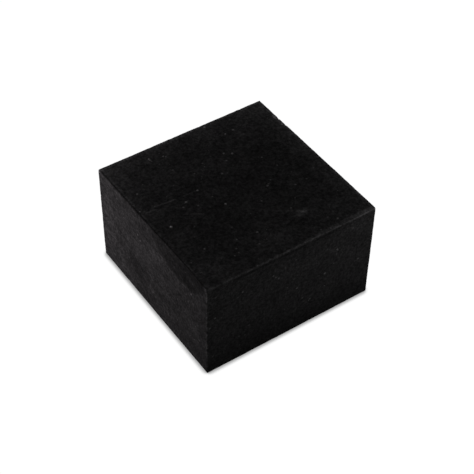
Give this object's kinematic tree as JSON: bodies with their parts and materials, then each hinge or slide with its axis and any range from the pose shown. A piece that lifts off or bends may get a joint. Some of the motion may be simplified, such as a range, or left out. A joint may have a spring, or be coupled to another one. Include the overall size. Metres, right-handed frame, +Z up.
{
  "type": "compressed charcoal block",
  "caption": "Low square block of pressed charcoal with lightly broken, partly worn edges; its faces and edges draw broad dark strokes.",
  "frame": {"origin": "centre of the underside", "axes": "+Z up through the block's height, -Y towards the front side, +X towards the right side"},
  "size_m": [0.0636, 0.0636, 0.0385],
  "materials": {
    "charcoal": "matt and powdery, pressed fine carbon grain, slightly burnished along the worn edges"
  },
  "bodies": {
    "root": {"charcoal_block": "charcoal"}
  },
  "joints": []
}
